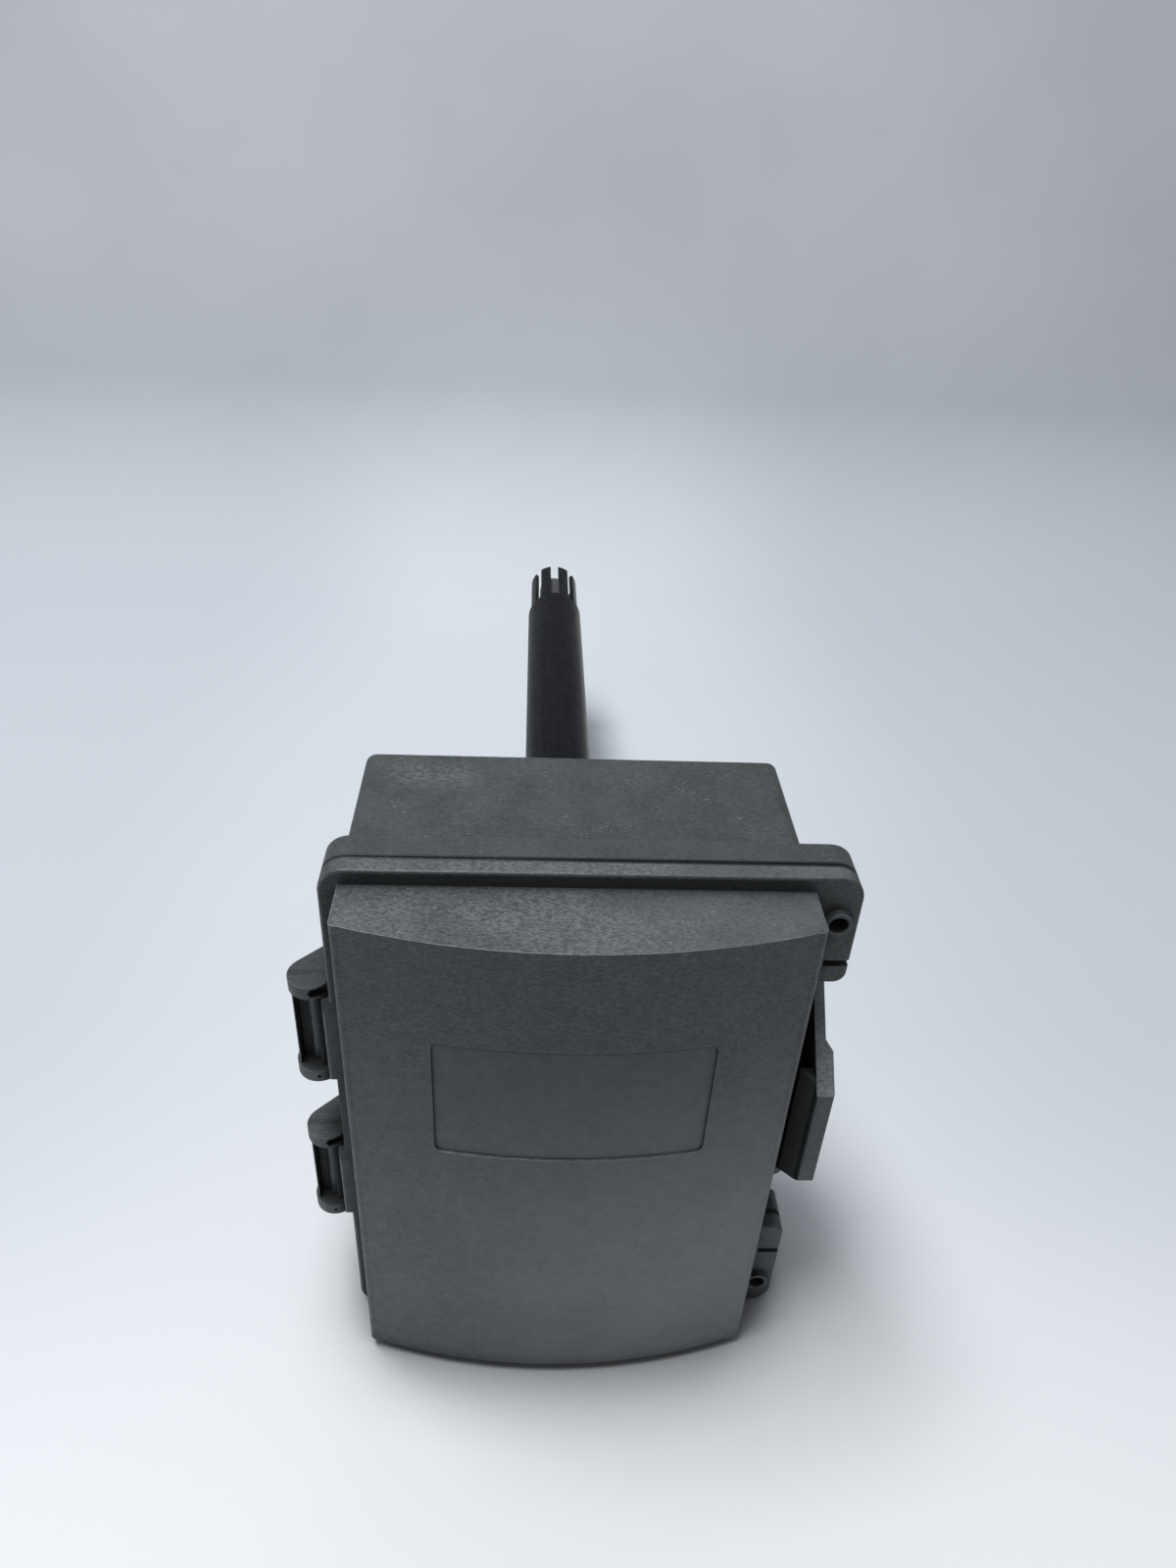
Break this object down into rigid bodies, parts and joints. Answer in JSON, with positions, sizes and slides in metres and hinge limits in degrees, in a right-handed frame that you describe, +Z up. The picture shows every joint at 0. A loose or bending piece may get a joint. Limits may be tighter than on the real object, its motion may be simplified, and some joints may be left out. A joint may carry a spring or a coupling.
{
  "type": "duct humidity sensor",
  "caption": "Dark plastic case with a curved hinged cover, side latch and screw lugs, and a long round probe with a slotted tip out of its back.",
  "frame": {"origin": "middle of the rear face that goes against the duct, at the centre of its four screw holes and on the probe's axis", "axes": "+Y along the probe into the duct, +Z up, +X to the right as one faces the cover"},
  "size_m": [0.1189, 0.3204, 0.145],
  "materials": {
    "case_plastic": "fine moulded texture",
    "cover_plastic": "fine moulded texture",
    "latch_plastic": "fine moulded texture",
    "pin_plastic": "smooth",
    "probe_plastic": "smooth satin",
    "seal_rubber": "matte",
    "foam_rubber": "closed-cell foam",
    "pin_steel": "brushed",
    "screw_steel": "zinc plated",
    "brass": "machined",
    "filter_mesh": "fine mesh",
    "board_laminate": "solder mask",
    "element_ceramic": "matt ceramic",
    "lead_sleeve": "smooth sleeve",
    "socket_plastic": "natural nylon",
    "terminal_plastic": "moulded",
    "chip_black": "moulded epoxy",
    "can_aluminium": "drawn can"
  },
  "bodies": {
    "case": {"rear_housing": "case_plastic", "cover_gasket": "seal_rubber", "latch_pin": "pin_steel", "upper_hinge_pin": "pin_plastic", "lower_hinge_pin": "pin_plastic", "lug_inserts": "brass", "probe_tube": "probe_plastic", "probe_crown": "probe_plastic", "probe_locknut": "probe_plastic", "probe_washer": "seal_rubber", "duct_seal": "foam_rubber", "sensor_filter": "filter_mesh", "tip_plug": "probe_plastic", "tip_board": "board_laminate", "humidity_element": "element_ceramic", "sensor_lead": "lead_sleeve", "lead_plug": "socket_plastic", "sensor_socket": "socket_plastic", "circuit_board": "board_laminate", "board_screws": "screw_steel", "terminal_block": "terminal_plastic", "terminal_screws": "screw_steel", "wire_clamps": "screw_steel", "control_chip": "chip_black", "voltage_regulator": "chip_black", "capacitors": "can_aluminium", "jumper_header": "chip_black"},
    "cover": {"front_cover": "cover_plastic"},
    "latch": {"latch_lever": "latch_plastic"}
  },
  "joints": [
    {"name": "cover_hinge", "type": "hinge", "parent": "case", "child": "cover", "pos_m": [-0.0553, -0.0429, 0.0036], "axis": [0, 0, -1], "range_deg": [0, 90]},
    {"name": "latch_hinge", "type": "hinge", "parent": "case", "child": "latch", "pos_m": [0.0549, -0.0316, 0.0022], "axis": [0, 0, 1], "range_deg": [-5, 90]}
  ]
}
